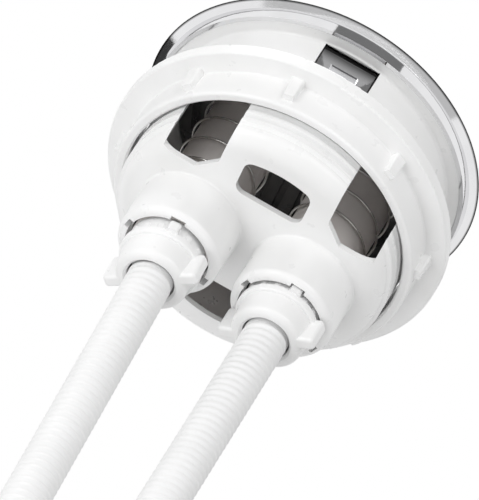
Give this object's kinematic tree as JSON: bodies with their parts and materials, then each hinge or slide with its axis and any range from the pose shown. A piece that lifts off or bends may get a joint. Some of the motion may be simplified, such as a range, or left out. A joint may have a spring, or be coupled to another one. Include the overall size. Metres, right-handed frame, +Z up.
{
  "type": "push button cistern actuator",
  "caption": "Dual push button toilet flush actuator: plated bezel and sprung buttons on a white housing with a ribbed locknut, winged collars and threaded push rods.",
  "frame": {"origin": "on the housing's axis, in the plane where the bezel's skirt meets the cistern lid", "axes": "+Z up through the buttons, +X from the half flush post to the full flush post"},
  "size_m": [0.0738, 0.0738, 0.1584],
  "materials": {
    "chrome_plate": "mirror plated plastic",
    "white_moulding": "satin moulded plastic",
    "white_rod": "matt moulded plastic",
    "spring_wire": "drawn stainless wire"
  },
  "bodies": {
    "housing": {"housing": "white_moulding", "chrome_bezel": "chrome_plate", "full_flush_spring": "spring_wire", "half_flush_spring": "spring_wire"},
    "locknut": {"locknut": "white_moulding"},
    "full_flush_button": {"full_flush_button": "chrome_plate", "full_flush_collar": "white_moulding"},
    "half_flush_button": {"half_flush_button": "chrome_plate", "half_flush_collar": "white_moulding"},
    "full_flush_rod": {"full_flush_rod": "white_rod"},
    "half_flush_rod": {"half_flush_rod": "white_rod"}
  },
  "joints": [
    {"name": "full_flush_press", "type": "slide", "parent": "housing", "child": "full_flush_button", "axis": [0, 0, -1], "range_m": [0, 0.008], "stiffness_N_per_m": 350, "springref_m": -0.015, "deforming": ["full_flush_spring"]},
    {"name": "half_flush_press", "type": "slide", "parent": "housing", "child": "half_flush_button", "axis": [0, 0, -1], "range_m": [0, 0.008], "stiffness_N_per_m": 350, "springref_m": -0.015, "deforming": ["half_flush_spring"]},
    {"name": "locknut_turn", "type": "hinge", "parent": "housing", "child": "locknut", "pos_m": [0, 0, -0.0182], "axis": [0, 0, 1], "continuous": true},
    {"name": "full_flush_rod_turn", "type": "hinge", "parent": "full_flush_button", "child": "full_flush_rod", "pos_m": [0.0129, 0, -0.044], "axis": [0, 0, 1], "continuous": true},
    {"name": "half_flush_rod_turn", "type": "hinge", "parent": "half_flush_button", "child": "half_flush_rod", "pos_m": [-0.0129, 0, -0.0458], "axis": [-0.0401, 0, 0.9992], "continuous": true}
  ]
}
